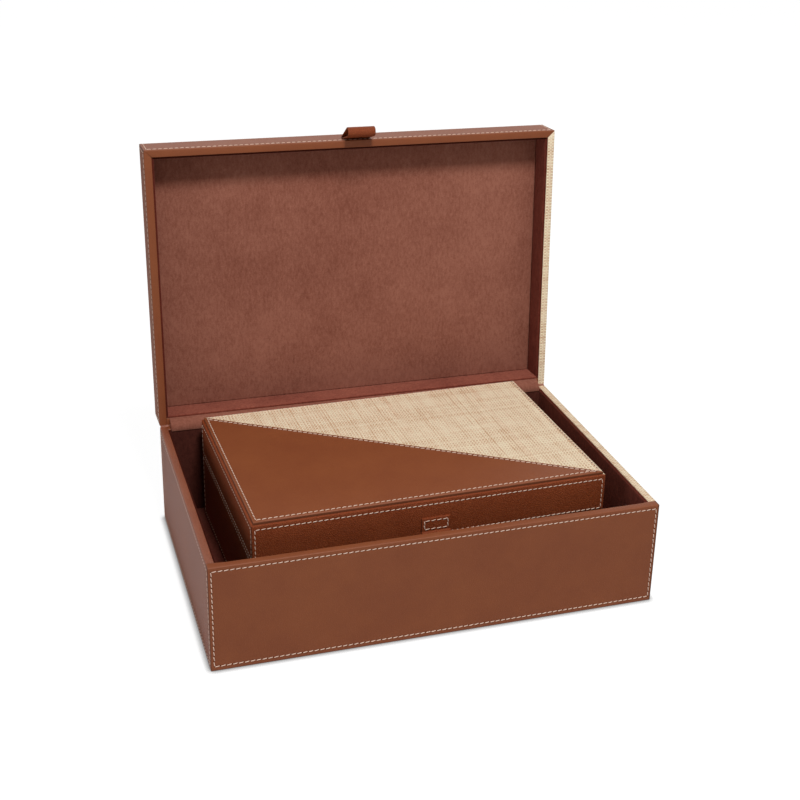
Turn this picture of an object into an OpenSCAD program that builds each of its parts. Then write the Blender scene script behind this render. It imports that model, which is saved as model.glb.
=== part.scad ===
// Nested stationery box: a large hinged box that stands open, with a smaller
// closed hinged box lying in it. X runs left to right, Y front to back, Z up.
// The origin is the middle of the large box's underside.

/* [Large box] */
// Outer width of the large box
box_w = 406; // [380:1:440]
// Outer depth of the large box, front to back
box_d = 272; // [262:1:310]
// Height of the large base, up to its rim
base_h = 99.6; // [92:0.1:125]
// Height of the large lid's walls, from rim to ledge
lid_wall_h = 32.5; // [28:0.1:45]
// Height of the raised panel on the large lid
lid_slab_h = 3; // [2:0.1:6]
// How far the raised panel stands in from the lid's walls
lid_slab_inset = 2; // [0.5:0.1:5]
// Slit between the two rims when the large lid is shut
lid_gap = 1.6; // [1.4:0.1:3]
// Angle at which the large lid stands open
open_angle = 93; // [75:1:100]

/* [Large box walls] */
// Thickness of the leather or raffia cover
cover_t = 1.2; // [1:0.1:2]
// Thickness of the wall boards
board_t = 5.8; // [4:0.1:8]
// Thickness of the suede lining on the walls
lining_t = 2; // [1:0.1:3]
// Thickness of the sheet under the base
bottom_t = 1.2; // [0.6:0.1:2]
// Thickness of the floor board
floor_t = 6.3; // [4:0.1:8]
// Thickness of the suede on the floor
floor_lining_t = 2; // [1:0.1:3]
// Thickness of the lid's top board
top_t = 5.8; // [4:0.1:8]
// Thickness of the suede-covered panel inside the lid
panel_t = 3; // [2:0.1:6]
// Overlap of the front cover onto the side rims
corner_lap = 1.2; // [0.5:0.1:4]

/* [Large hinge] */
// Height of each leather hinge leg on the back
spine_leg = 12; // [6:0.5:20]
// Thickness of the leather hinge, let into the back cover
spine_t = 0.6; // [0.3:0.1:0.8]
// How far the suede roll stops short of the side linings
roll_side_gap = 1; // [0.5:0.5:6]
// How far the suede roll reaches up the lid's back rim
roll_up = 7.6; // [5:0.1:8]
// How far the suede roll hangs down over the back lining
roll_hang = 0.4; // [0.2:0.1:3]
// How far the suede roll stands forward of the back lining
roll_out = 0.7; // [0.3:0.1:0.9]

/* [Small box] */
// Room left of the small box, beside the large box's lining
room_left = 31.4; // [12:0.1:60]
// Room right of the small box, beside the large box's lining
room_right = 28.2; // [12:0.1:60]
// Room in front of the small box, where its pull tab hangs
room_front = 29.6; // [24:0.1:60]
// Room behind the small box, in front of the large box's lining
room_back = 7.6; // [7:0.1:30]
// Room over the small box when the large lid is shut
head_room = 10.9; // [3:0.1:30]
// Height of the small lid's walls, from rim to ledge
small_lid_wall_h = 35; // [25:0.1:38]
// Height of the raised panel on the small lid
small_slab_h = 3; // [2:0.1:5]
// How far the small lid's raised panel stands in
small_slab_inset = 2; // [0.5:0.1:4]
// Slit between the small box's two rims
small_gap = 0.8; // [0.8:0.1:2]
// How far the small box lies turned, seen from above
small_turn = 1.49; // [0:0.01:1.7]

/* [Small box walls] */
// Thickness of the small box's cover
small_cover_t = 1.2; // [1:0.1:2]
// Thickness of the small box's wall boards
small_board_t = 4.3; // [3:0.1:6]
// Thickness of the small box's wall lining
small_lining_t = 1.5; // [1:0.1:3]
// Thickness of the sheet under the small box
small_bottom_t = 1.2; // [0.6:0.1:2]
// Thickness of the small box's floor board
small_floor_t = 4.8; // [3:0.1:6]
// Thickness of the suede on the small box's floor
small_floor_lining_t = 1.5; // [1:0.1:3]
// Thickness of the small lid's top board
small_top_t = 4.8; // [3:0.1:6]
// Thickness of the panel inside the small lid
small_panel_t = 2.5; // [1.5:0.1:4]
// Height of each leather hinge leg on the small back
small_spine_leg = 10; // [6:0.5:15]
// Thickness of the small leather hinge
small_spine_t = 0.6; // [0.3:0.1:0.8]
// Thickness of the suede folded between the small rims
small_fold_t = 0.3; // [0.2:0.05:0.35]
// How far the folded suede runs over the small linings
small_fold_flap = 6; // [3:0.5:10]

/* [Pull tabs] */
// Width of each leather pull tab
tab_w = 27; // [16:0.5:40]
// Thickness of the tab leather
tab_t = 1.5; // [1:0.1:2]
// Radius of the tab loop's rounded nose
tab_nose_r = 3.9; // [3:0.1:5]
// How far the middle of the nose stands out from the wall
tab_nose_out = 10.3; // [8:0.1:14]
// How far the middle of the nose hangs below the lid's rim
tab_nose_drop = 8.6; // [5:0.1:12]
// Height above the rim at which each tab's loop ends
tab_low = 2; // [1:0.1:4]
// Height above the rim of the large tab's top edge
tab_high = 15; // [11:0.1:20]
// Height above the rim at which the small tab leaves the wall
small_tab_root = 6; // [5:0.1:10]
// Height above the rim of the small tab's top edge
small_tab_high = 18.4; // [14:0.1:24]

/* [Hidden] */
wall = cover_t + board_t;
small_wall = small_cover_t + small_board_t;
lid_h = lid_wall_h + lid_slab_h;
small_lid_h = small_lid_wall_h + small_slab_h;
floor_z = bottom_t + floor_t + floor_lining_t;
hinge_y = box_d / 2;
hinge_z = base_h + lid_gap / 2;
lid_ceiling = lid_h - cover_t - top_t;
// Clear space inside the shut large box, which the small box fills but for its rooms
clear_w = box_w - 2 * (wall + lining_t);
clear_d = box_d - 2 * (wall + lining_t);
clear_h = base_h + lid_gap + lid_ceiling - panel_t - floor_z;
small_w = clear_w - room_left - room_right;
small_d = clear_d - room_front - room_back;
small_x = (room_left - room_right) / 2;
small_y = (room_front - room_back) / 2;
small_base_h = clear_h - head_room - small_gap - small_lid_h;
small_rim_z = small_base_h + small_gap;
// Hair's breadth of glue round the outer hinge leather
glue = 0.02;
// Height from a wall's rim down to the top edge of its lining
lining_drop = cover_t;
small_lining_drop = small_cover_t;

// Colours as the object shows them
leather = [0.47, 0.27, 0.18];
raffia = [0.87, 0.77, 0.63];
suede = [0.52, 0.33, 0.27];
board = [0.62, 0.55, 0.45];

// A block between two corners
module block(x0, x1, y0, y1, z0, z1) {
    translate([x0, y0, z0]) cube([x1 - x0, y1 - y0, z1 - z0]);
}

// Wall boards: front and back run the whole width, the sides stand between them
module front_board(w, d, c, b, z0, z1) {
    block(-w / 2 + c, w / 2 - c, -d / 2 + c, -d / 2 + c + b, z0, z1);
}
module side_board(w, d, c, b, z0, z1) {
    block(-w / 2 + c, -w / 2 + c + b, -d / 2 + c + b, d / 2 - c - b, z0, z1);
}

// A flat sheet inside the covers or inside the walls
module sheet(w, d, inset, z0, z1) {
    block(-w / 2 + inset, w / 2 - inset, -d / 2 + inset, d / 2 - inset, z0, z1);
}

// A sleeve of lining on the inner faces of the four walls
module sleeve(w, d, m, l, z0, z1) {
    difference() {
        sheet(w, d, m, z0, z1);
        sheet(w, d, m + l, z0 - 1, z1 + 1);
    }
}

// Covers of a base: the front one is turned over the whole front rim and laps
// onto the side rims; the side ones butt behind it; the back one stands between.
module base_front_cover(w, d, h, c, b, lap) {
    block(-w / 2, w / 2, -d / 2, -d / 2 + c, 0, h);
    block(-w / 2, w / 2, -d / 2, -d / 2 + c + b, h - c, h);
    for (s = [0, 1]) mirror([s, 0, 0])
        block(-w / 2, -w / 2 + c + b, -d / 2, -d / 2 + c + b + lap, h - c, h);
}
module base_side_cover(w, d, h, c, b, lap, s, leg) {
    difference() {
        union() {
            block(-w / 2, -w / 2 + c, -d / 2 + c, d / 2, 0, h - c);
            block(-w / 2, -w / 2 + c + b, -d / 2 + c + b + lap, d / 2, h - c, h);
        }
        spine_recess(w, d, c, s, h - leg, h + 1);
    }
}
// Recess across the back that the hinge leather is let into, between the faces of
// the side covers
module spine_recess(w, d, c, s, z0, z1) {
    block(-w / 2 + c, w / 2 - c, d / 2 - s, d / 2 + 1, z0, z1);
}
module base_back_cover(w, d, h, c, b, s, leg) {
    difference() {
        union() {
            block(-w / 2 + c, w / 2 - c, d / 2 - c, d / 2, 0, h - c);
            block(-w / 2 + c + b, w / 2 - c - b, d / 2 - c - b, d / 2, h - c, h);
        }
        spine_recess(w, d, c, s, h - leg, h + 1);
    }
}

// Covers of a lid, drawn shut with the rim at zero: each is turned over the rim
// below and the ledge above, and the front corners are mitred.
module mitre_front(w, d, m, h) {
    translate([0, 0, -1]) linear_extrude(h + 2) polygon([
        [-w / 2, -d / 2], [w / 2, -d / 2],
        [w / 2 - m, -d / 2 + m], [-w / 2 + m, -d / 2 + m]
    ]);
}
module mitre_side(w, d, m, h) {
    translate([0, 0, -1]) linear_extrude(h + 2) polygon([
        [-w / 2, -d / 2], [-w / 2 + m, -d / 2 + m],
        [-w / 2 + m, d / 2], [-w / 2, d / 2]
    ]);
}
module lid_front_cover(w, d, h, c, b) {
    intersection() {
        union() {
            block(-w / 2, w / 2, -d / 2, -d / 2 + c, 0, h);
            block(-w / 2, w / 2, -d / 2, -d / 2 + c + b, 0, c);
            block(-w / 2, w / 2, -d / 2, -d / 2 + c + b, h - c, h);
        }
        mitre_front(w, d, c + b, h);
    }
}
module lid_side_cover(w, d, h, c, b, s, leg) {
    difference() {
        intersection() {
            union() {
                block(-w / 2, -w / 2 + c, -d / 2, d / 2, 0, h);
                block(-w / 2, -w / 2 + c + b, -d / 2, d / 2, 0, c);
                block(-w / 2, -w / 2 + c + b, -d / 2, d / 2, h - c, h);
            }
            mitre_side(w, d, c + b, h);
        }
        spine_recess(w, d, c, s, -1, leg);
    }
}
module lid_back_cover(w, d, h, c, b, s, leg) {
    difference() {
        union() {
            block(-w / 2 + c, w / 2 - c, d / 2 - c, d / 2, c, h - c);
            block(-w / 2 + c + b, w / 2 - c - b, d / 2 - c - b, d / 2, 0, c);
            block(-w / 2 + c + b, w / 2 - c - b, d / 2 - c - b, d / 2, h - c, h);
        }
        spine_recess(w, d, c, s, -1, leg);
    }
}

// Stepped top board: its lower part drops between the walls, its upper part
// rests on the ledge
module top_board(w, d, m, inset, c, ledge, h, t) {
    sheet(w, d, m, h - c - t, ledge);
    sheet(w, d, inset + c, ledge, h - c);
}

// Skin over the raised panel, turned down round its edge
module top_skin(w, d, inset, c, ledge, h) {
    difference() {
        sheet(w, d, inset, ledge, h);
        sheet(w, d, inset + c, ledge - 1, h - c);
    }
}
// The skin's two halves meet on the diagonal from back left to front right
module front_left_half(w, d, inset, h) {
    x = w / 2 - inset;
    y = d / 2 - inset;
    linear_extrude(h + 1) polygon([[-x, -y], [x, -y], [-x, y]]);
}
module back_right_half(w, d, inset, h) {
    x = w / 2 - inset;
    y = d / 2 - inset;
    linear_extrude(h + 1) polygon([[x, -y], [x, y], [-x, y]]);
}

// Pull tab, in lid coordinates: a leather band sewn to the front wall between
// low and high, leaving it at root, with a loop that hangs below the rim
module pull_tab(d, low, root, high) {
    translate([tab_w / 2, -d / 2, 0]) rotate([90, 0, -90]) linear_extrude(tab_w)
        difference() {
            union() {
                hull() {
                    translate([tab_nose_out, -tab_nose_drop]) circle(tab_nose_r, $fn = 48);
                    translate([0, low]) square([tab_t, root - low]);
                }
                translate([0, low]) square([tab_t, high - low]);
            }
            hull() {
                translate([tab_nose_out, -tab_nose_drop])
                    circle(tab_nose_r - tab_t, $fn = 48);
                translate([tab_t, low + tab_t / 2])
                    square([0.01, root - low - 2 * tab_t]);
            }
        }
}

// Where a point given in the shut lid, from the hinge line, stands when open
function opened(p) = [
    p[0] * cos(open_angle) + p[1] * sin(open_angle),
    -p[0] * sin(open_angle) + p[1] * cos(open_angle)
];

module large_lid() {
    translate([0, hinge_y, hinge_z]) rotate([-open_angle, 0, 0])
        translate([0, -hinge_y, lid_gap / 2]) children();
}
module small_box() {
    translate([small_x, small_y, floor_z]) rotate([0, 0, small_turn]) children();
}
module small_lid() {
    small_box() translate([0, 0, small_rim_z]) children();
}

// Large base
module base_bottom_cover() {
    color(suede) sheet(box_w, box_d, cover_t, 0, bottom_t);
}
module base_floor_board() {
    color(board) sheet(box_w, box_d, wall, bottom_t, bottom_t + floor_t);
}
module base_floor_lining() {
    color(suede) sheet(box_w, box_d, wall, bottom_t + floor_t, floor_z);
}
module base_front_board() {
    color(board) front_board(box_w, box_d, cover_t, board_t, bottom_t, base_h - cover_t);
}
module base_back_board() {
    color(board) mirror([0, 1, 0])
        front_board(box_w, box_d, cover_t, board_t, bottom_t, base_h - cover_t);
}
module base_left_board() {
    color(board) side_board(box_w, box_d, cover_t, board_t, bottom_t, base_h - cover_t);
}
module base_right_board() {
    color(board) mirror([1, 0, 0])
        side_board(box_w, box_d, cover_t, board_t, bottom_t, base_h - cover_t);
}
module base_front_leather() {
    color(leather) base_front_cover(box_w, box_d, base_h, cover_t, board_t, corner_lap);
}
module base_left_leather() {
    color(leather) base_side_cover(
        box_w, box_d, base_h, cover_t, board_t, corner_lap, spine_t, spine_leg);
}
module base_right_raffia() {
    color(raffia) mirror([1, 0, 0]) base_side_cover(
        box_w, box_d, base_h, cover_t, board_t, corner_lap, spine_t, spine_leg);
}
module base_back_leather() {
    color(leather)
        base_back_cover(box_w, box_d, base_h, cover_t, board_t, spine_t, spine_leg);
}
module base_wall_lining() {
    color(suede) sleeve(box_w, box_d, wall, lining_t, floor_z, base_h - lining_drop);
}

// Large lid
module lid_top_board() {
    color(board) large_lid()
        top_board(box_w, box_d, wall, lid_slab_inset, cover_t, lid_wall_h, lid_h, top_t);
}
module lid_top_leather() {
    color(leather) large_lid() intersection() {
        top_skin(box_w, box_d, lid_slab_inset, cover_t, lid_wall_h, lid_h);
        front_left_half(box_w, box_d, lid_slab_inset, lid_h);
    }
}
module lid_top_raffia() {
    color(raffia) large_lid() intersection() {
        top_skin(box_w, box_d, lid_slab_inset, cover_t, lid_wall_h, lid_h);
        back_right_half(box_w, box_d, lid_slab_inset, lid_h);
    }
}
module lid_panel_lining() {
    color(suede) large_lid() sheet(box_w, box_d, wall, lid_ceiling - panel_t, lid_ceiling);
}
module lid_front_board() {
    color(board) large_lid()
        front_board(box_w, box_d, cover_t, board_t, cover_t, lid_wall_h - cover_t);
}
module lid_back_board() {
    color(board) large_lid() mirror([0, 1, 0])
        front_board(box_w, box_d, cover_t, board_t, cover_t, lid_wall_h - cover_t);
}
module lid_left_board() {
    color(board) large_lid()
        side_board(box_w, box_d, cover_t, board_t, cover_t, lid_wall_h - cover_t);
}
module lid_right_board() {
    color(board) large_lid() mirror([1, 0, 0])
        side_board(box_w, box_d, cover_t, board_t, cover_t, lid_wall_h - cover_t);
}
module lid_front_leather() {
    color(leather) large_lid() lid_front_cover(box_w, box_d, lid_wall_h, cover_t, board_t);
}
module lid_left_leather() {
    color(leather) large_lid()
        lid_side_cover(box_w, box_d, lid_wall_h, cover_t, board_t, spine_t, spine_leg);
}
module lid_right_raffia() {
    color(raffia) large_lid() mirror([1, 0, 0])
        lid_side_cover(box_w, box_d, lid_wall_h, cover_t, board_t, spine_t, spine_leg);
}
module lid_back_leather() {
    color(leather) large_lid()
        lid_back_cover(box_w, box_d, lid_wall_h, cover_t, board_t, spine_t, spine_leg);
}
module lid_wall_lining() {
    color(suede) large_lid()
        sleeve(box_w, box_d, wall, lining_t, lining_drop, lid_ceiling - panel_t);
}
module lid_pull_tab() {
    color(leather) large_lid() pull_tab(box_d, tab_low, tab_high, tab_high);
}

// Large hinge, as it lies with the lid open
module hinge_leather() {
    g = lid_gap / 2;
    back = -spine_t + glue;
    end = g + spine_leg - glue;
    color(leather) translate([-box_w / 2 + cover_t + glue, hinge_y, hinge_z])
        rotate([90, 0, 90]) linear_extrude(box_w - 2 * cover_t - 2 * glue) polygon([
            [back, -end], [0, -end], [0, -g],
            opened([0, g]), opened([0, end]),
            opened([back, end]), opened([back, g]),
            [back, -g]
        ]);
}
module hinge_suede() {
    g = lid_gap / 2;
    in = wall + lining_t;
    top = opened([-roll_up, g]);
    low = -g - lining_drop - roll_hang;
    out = -in - roll_out;
    color(suede) translate([-box_w / 2 + in + roll_side_gap, hinge_y, hinge_z])
        rotate([90, 0, 90]) linear_extrude(box_w - 2 * in - 2 * roll_side_gap)
        polygon(concat(
            [[-spine_t, -g], opened([-spine_t, g]), top],
            [for (a = [75 : -15 : 15]) [
                top[0] - (top[0] - out) * cos(a),
                -g + (top[1] + g) * sin(a)
            ]],
            [[out, -g], [out, low], [-in, low], [-in, -g - lining_drop],
             [-wall, -g - lining_drop], [-wall, -g]]
        ));
}

// Small base
small_floor_z = small_bottom_t + small_floor_t + small_floor_lining_t;
small_board_top = small_base_h - small_cover_t;
module small_bottom_cover() {
    color(suede) small_box() sheet(small_w, small_d, small_cover_t, 0, small_bottom_t);
}
module small_floor_board() {
    color(board) small_box()
        sheet(small_w, small_d, small_wall, small_bottom_t, small_bottom_t + small_floor_t);
}
module small_floor_lining() {
    color(suede) small_box()
        sheet(small_w, small_d, small_wall, small_bottom_t + small_floor_t, small_floor_z);
}
module small_front_board() {
    color(board) small_box() front_board(
        small_w, small_d, small_cover_t, small_board_t, small_bottom_t, small_board_top);
}
module small_back_board() {
    color(board) small_box() mirror([0, 1, 0]) front_board(
        small_w, small_d, small_cover_t, small_board_t, small_bottom_t, small_board_top);
}
module small_left_board() {
    color(board) small_box() side_board(
        small_w, small_d, small_cover_t, small_board_t, small_bottom_t, small_board_top);
}
module small_right_board() {
    color(board) small_box() mirror([1, 0, 0]) side_board(
        small_w, small_d, small_cover_t, small_board_t, small_bottom_t, small_board_top);
}
module small_front_leather() {
    color(leather) small_box() base_front_cover(
        small_w, small_d, small_base_h, small_cover_t, small_board_t, corner_lap);
}
module small_left_leather() {
    color(leather) small_box() base_side_cover(
        small_w, small_d, small_base_h, small_cover_t, small_board_t, corner_lap,
        small_spine_t, small_spine_leg);
}
module small_right_raffia() {
    color(raffia) small_box() mirror([1, 0, 0]) base_side_cover(
        small_w, small_d, small_base_h, small_cover_t, small_board_t, corner_lap,
        small_spine_t, small_spine_leg);
}
module small_back_leather() {
    color(leather) small_box() base_back_cover(
        small_w, small_d, small_base_h, small_cover_t, small_board_t,
        small_spine_t, small_spine_leg);
}
module small_wall_lining() {
    color(suede) small_box() sleeve(
        small_w, small_d, small_wall, small_lining_t,
        small_floor_z, small_base_h - small_lining_drop);
}

// Small lid
small_ceiling = small_lid_h - small_cover_t - small_top_t;
small_lid_board_top = small_lid_wall_h - small_cover_t;
module small_lid_top_board() {
    color(board) small_lid() top_board(
        small_w, small_d, small_wall, small_slab_inset, small_cover_t,
        small_lid_wall_h, small_lid_h, small_top_t);
}
module small_lid_top_leather() {
    color(leather) small_lid() intersection() {
        top_skin(small_w, small_d, small_slab_inset, small_cover_t,
            small_lid_wall_h, small_lid_h);
        front_left_half(small_w, small_d, small_slab_inset, small_lid_h);
    }
}
module small_lid_top_raffia() {
    color(raffia) small_lid() intersection() {
        top_skin(small_w, small_d, small_slab_inset, small_cover_t,
            small_lid_wall_h, small_lid_h);
        back_right_half(small_w, small_d, small_slab_inset, small_lid_h);
    }
}
module small_lid_panel_lining() {
    color(suede) small_lid() sheet(
        small_w, small_d, small_wall, small_ceiling - small_panel_t, small_ceiling);
}
module small_lid_front_board() {
    color(board) small_lid() front_board(
        small_w, small_d, small_cover_t, small_board_t, small_cover_t, small_lid_board_top);
}
module small_lid_back_board() {
    color(board) small_lid() mirror([0, 1, 0]) front_board(
        small_w, small_d, small_cover_t, small_board_t, small_cover_t, small_lid_board_top);
}
module small_lid_left_board() {
    color(board) small_lid() side_board(
        small_w, small_d, small_cover_t, small_board_t, small_cover_t, small_lid_board_top);
}
module small_lid_right_board() {
    color(board) small_lid() mirror([1, 0, 0]) side_board(
        small_w, small_d, small_cover_t, small_board_t, small_cover_t, small_lid_board_top);
}
module small_lid_front_leather() {
    color(leather) small_lid()
        lid_front_cover(small_w, small_d, small_lid_wall_h, small_cover_t, small_board_t);
}
module small_lid_left_leather() {
    color(leather) small_lid() lid_side_cover(
        small_w, small_d, small_lid_wall_h, small_cover_t, small_board_t,
        small_spine_t, small_spine_leg);
}
module small_lid_right_raffia() {
    color(raffia) small_lid() mirror([1, 0, 0]) lid_side_cover(
        small_w, small_d, small_lid_wall_h, small_cover_t, small_board_t,
        small_spine_t, small_spine_leg);
}
module small_lid_back_leather() {
    color(leather) small_lid() lid_back_cover(
        small_w, small_d, small_lid_wall_h, small_cover_t, small_board_t,
        small_spine_t, small_spine_leg);
}
module small_lid_wall_lining() {
    color(suede) small_lid() sleeve(
        small_w, small_d, small_wall, small_lining_t,
        small_lining_drop, small_ceiling - small_panel_t);
}
module small_lid_pull_tab() {
    color(leather) small_lid() pull_tab(small_d, tab_low, small_tab_root, small_tab_high);
}

// Small hinge, as it lies with the small lid shut
module small_hinge_leather() {
    color(leather) small_box() block(
        -small_w / 2 + small_cover_t, small_w / 2 - small_cover_t,
        small_d / 2 - small_spine_t, small_d / 2,
        small_base_h - small_spine_leg, small_rim_z + small_spine_leg);
}
module small_hinge_suede() {
    x = small_w / 2 - small_wall - small_lining_t - small_fold_t;
    back = small_d / 2 - small_spine_t;
    front = small_d / 2 - small_wall - small_lining_t - small_fold_t;
    t = small_fold_t;
    color(suede) small_box() {
        block(-x, x, back - t, back, small_base_h, small_rim_z);
        for (s = [0, 1]) translate([0, 0, (small_base_h + small_rim_z) / 2])
            mirror([0, 0, s]) translate([0, 0, -small_gap / 2]) {
                block(-x, x, front, back, 0, t);
                block(-x, x, front, front + t, -small_lining_drop - small_fold_flap, t);
            }
    }
}

base_bottom_cover();
base_floor_board();
base_floor_lining();
base_front_board();
base_back_board();
base_left_board();
base_right_board();
base_front_leather();
base_left_leather();
base_right_raffia();
base_back_leather();
base_wall_lining();
lid_top_board();
lid_top_leather();
lid_top_raffia();
lid_panel_lining();
lid_front_board();
lid_back_board();
lid_left_board();
lid_right_board();
lid_front_leather();
lid_left_leather();
lid_right_raffia();
lid_back_leather();
lid_wall_lining();
lid_pull_tab();
hinge_leather();
hinge_suede();
small_bottom_cover();
small_floor_board();
small_floor_lining();
small_front_board();
small_back_board();
small_left_board();
small_right_board();
small_front_leather();
small_left_leather();
small_right_raffia();
small_back_leather();
small_wall_lining();
small_lid_top_board();
small_lid_top_leather();
small_lid_top_raffia();
small_lid_panel_lining();
small_lid_front_board();
small_lid_back_board();
small_lid_left_board();
small_lid_right_board();
small_lid_front_leather();
small_lid_left_leather();
small_lid_right_raffia();
small_lid_back_leather();
small_lid_wall_lining();
small_lid_pull_tab();
small_hinge_leather();
small_hinge_suede();
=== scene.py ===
"""A nested stationery box, dressed: rolled leather and raffia covers, suede linings,
sewn pull tabs and hinges, and every stitch of the saddle sewing as a short thread."""
import math
from types import SimpleNamespace

import bpy
import numpy as np
from mathutils import Matrix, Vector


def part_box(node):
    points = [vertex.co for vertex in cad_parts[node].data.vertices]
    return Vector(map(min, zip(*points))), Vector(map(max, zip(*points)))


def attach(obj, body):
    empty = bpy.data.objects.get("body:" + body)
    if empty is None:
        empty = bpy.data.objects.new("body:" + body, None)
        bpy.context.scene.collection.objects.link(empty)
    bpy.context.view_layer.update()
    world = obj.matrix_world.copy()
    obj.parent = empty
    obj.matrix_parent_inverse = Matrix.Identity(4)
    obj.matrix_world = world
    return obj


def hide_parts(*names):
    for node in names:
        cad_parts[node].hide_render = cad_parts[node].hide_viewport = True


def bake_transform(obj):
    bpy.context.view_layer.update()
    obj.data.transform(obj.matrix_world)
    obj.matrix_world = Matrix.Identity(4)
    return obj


bl_info = {
    "name": "Nested stationery box",
    "version": (1, 0, 0),
    "blender": (4, 5, 0),
    "location": "3D View > Sidebar > Stationery box",
    "description": "Dresses a nested leather, raffia and suede box and sets its stage",
    "category": "Object",
}

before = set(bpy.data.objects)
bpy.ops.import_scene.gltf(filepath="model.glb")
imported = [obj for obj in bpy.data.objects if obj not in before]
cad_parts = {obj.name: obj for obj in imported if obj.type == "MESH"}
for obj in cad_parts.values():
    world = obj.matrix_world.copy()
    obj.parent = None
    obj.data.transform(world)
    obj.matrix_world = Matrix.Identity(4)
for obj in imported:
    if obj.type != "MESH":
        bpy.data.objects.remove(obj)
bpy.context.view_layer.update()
MM = 0.001
LOW, HIGH = (np.array(c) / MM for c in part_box("base_front_leather"))
BASE_W = float(HIGH[0] - LOW[0])
BASE_H = float(HIGH[2])
BASE_D = float(-2 * LOW[1])
SIDES = ("front", "left", "right", "back")

# how the covers are worked, in mm
ROLL = 0.9  # radius of a cover's edge rolled over a rim
SIDE_ROLL = 0.7  # radius of the side covers' back edges
FRONT_LAP = 1.2  # how far the front cover laps over the sides' rims
SLAB_ROLL, SEAM_ROLL = 1.3, 0.25  # the raised panel's edge, and beside its seam
GROOVE, GROOVE_REACH = 0.22, 1.4  # depth and half width of the channel for the stitches
GROOVE_SINK = 0.2  # how deep a wall's stitches lie in it
# the needle holes' dark beads are painted shade; this is half the length of one in leather
HOLE_SHADE = 0.62  # half length of a needle hole in leather
SPINE_SINK, SPINE_PROUD, SPINE_BEVEL = 0.58, 0.3, 0.09  # hinge leather, from the back face
BOTTOM, TOP_BOARD, SMALL_PANEL = 1.2, 4.8, 2.5  # thickness of hidden layers


# ---------------------------------------------------------------- sizes, colours
def length(name, value, note, low=0.0):
    """A length and the least it may be, given in mm and kept in metres."""
    return bpy.props.FloatProperty(
        name=name, default=value * MM, description=note, min=low * MM, unit="LENGTH", precision=4
    )


def angle(name, value, note):
    """An angle, given in degrees and kept in radians."""
    return bpy.props.FloatProperty(
        name=name, default=math.radians(value), description=note, subtype="ANGLE"
    )


def colour(name, value, note):
    """A colour, kept as linear light: value is the 0 to 255 colour as seen."""
    c = [v / 255 for v in value]
    c = [v / 12.92 if v <= 0.04045 else ((v + 0.055) / 1.055) ** 2.4 for v in c]
    return bpy.props.FloatVectorProperty(
        name=name, default=c, description=note, size=3, subtype="COLOR", min=0, max=1
    )


class StationerySizes(bpy.types.PropertyGroup):
    """Sizes of the box."""

    width: length("Width", BASE_W, "Outer width of the large box")
    depth: length("Depth", BASE_D, "Outer depth of the large box")
    base_height: length("Base height", BASE_H, "Height of the large base")
    lid_wall: length("Lid wall", 32.5, "Height of the large lid's walls")
    slab: length("Raised panel", 3.0, "Height of both lids' raised panels")
    slab_inset: length("Panel inset", 2.0, "How far the raised panels stand in")
    slit: length("Slit", 1.6, "Slit between the large rims when shut")
    open_angle: angle("Open angle", 93.0, "How far the large lid stands open")
    cover: length("Cover", 1.2, "Thickness of leather and raffia covers")
    wall: length("Covered wall", 7.0, "Thickness of a covered wall")
    lining: length("Lining", 2.0, "Thickness of the large box's wall lining")
    floor: length("Floor", 9.5, "Height of the large box's lined floor")
    ceiling: length("Ceiling", 28.5, "Height of the top board over the lid's rim")
    panel: length("Panel", 3.0, "Thickness of the large lid's suede panel")
    small_width: length("Small width", 328.4, "Outer width of the small box")
    small_depth: length("Small depth", 216.8, "Outer depth of the small box")
    small_base: length("Small base", 67.5, "Height of the small base")
    small_lid_wall: length("Small lid wall", 35.0, "Height of the small lid's walls")
    small_slit: length("Small slit", 0.8, "Slit between the small rims")
    small_wall: length("Small covered wall", 5.5, "Thickness of a small wall")
    small_lining: length("Small lining", 1.5, "Thickness of the small wall lining")
    small_x: length("Small X", 1.6, "How far right of the middle the small box lies", -30.0)
    small_y: length("Small Y", 11.0, "How far back of the middle the small box lies", -30.0)
    small_turn: angle("Small turn", 1.49, "How far the small box is turned to the left")
    small_floor: length("Small floor", 7.5, "Height of the small box's lined floor")
    pitch: length("Stitch pitch", 5.0, "Distance from stitch to stitch")
    stitch: length("Stitch length", 4.5, "Length of one stitch")
    thread: length("Thread", 0.8, "Thickness of the sewing thread")
    tab_width: length("Tab width", 27.0, "Width of the pull tabs")


class StationeryColours(bpy.types.PropertyGroup):
    """Colours of the finishes."""

    leather: colour("Leather", (137, 75, 41), "Saddle leather")
    leather_dark: colour("Leather shade", (130, 69, 38), "Leather in its darker patches")
    sides: colour("Side leather", (150, 80, 44), "Grained leather of the large box")
    sides_dark: colour("Side shade", (140, 72, 38), "Its darker patches")
    pebbled: colour("Pebbled leather", (150, 74, 37), "Grained leather of the small box")
    pebbled_dark: colour("Pebbled shade", (140, 66, 31), "Its darker patches")
    raffia: colour("Raffia", (253, 231, 201), "Light raffia strands")
    raffia_dark: colour("Raffia shade", (206, 163, 123), "Dark raffia strands")
    suede: colour("Suede", (160, 104, 86), "Suede with its nap up")
    suede_dark: colour("Suede shade", (127, 74, 59), "Suede with its nap down")
    # fold, inner and deep are darker copies of the same suede, painted shade inside the box
    fold: colour("Inner back", (162, 95, 77), "Suede of the lid's back wall, nap up")
    fold_dark: colour("Inner back shade", (120, 61, 50), "Its suede with the nap down")
    inner: colour("Inner walls", (132, 70, 58), "Suede of the lids' other walls, nap up")
    inner_dark: colour("Inner wall shade", (98, 46, 37), "Their suede with the nap down")
    deep: colour("Deep suede", (94, 50, 41), "Suede of the walls, nap up")
    deep_dark: colour("Deep suede shade", (68, 33, 28), "Suede of the walls, nap down")
    thread: colour("Thread", (238, 208, 188), "Sewing thread")
    board: colour("Board", (158, 140, 114), "Board under the covers")


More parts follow.
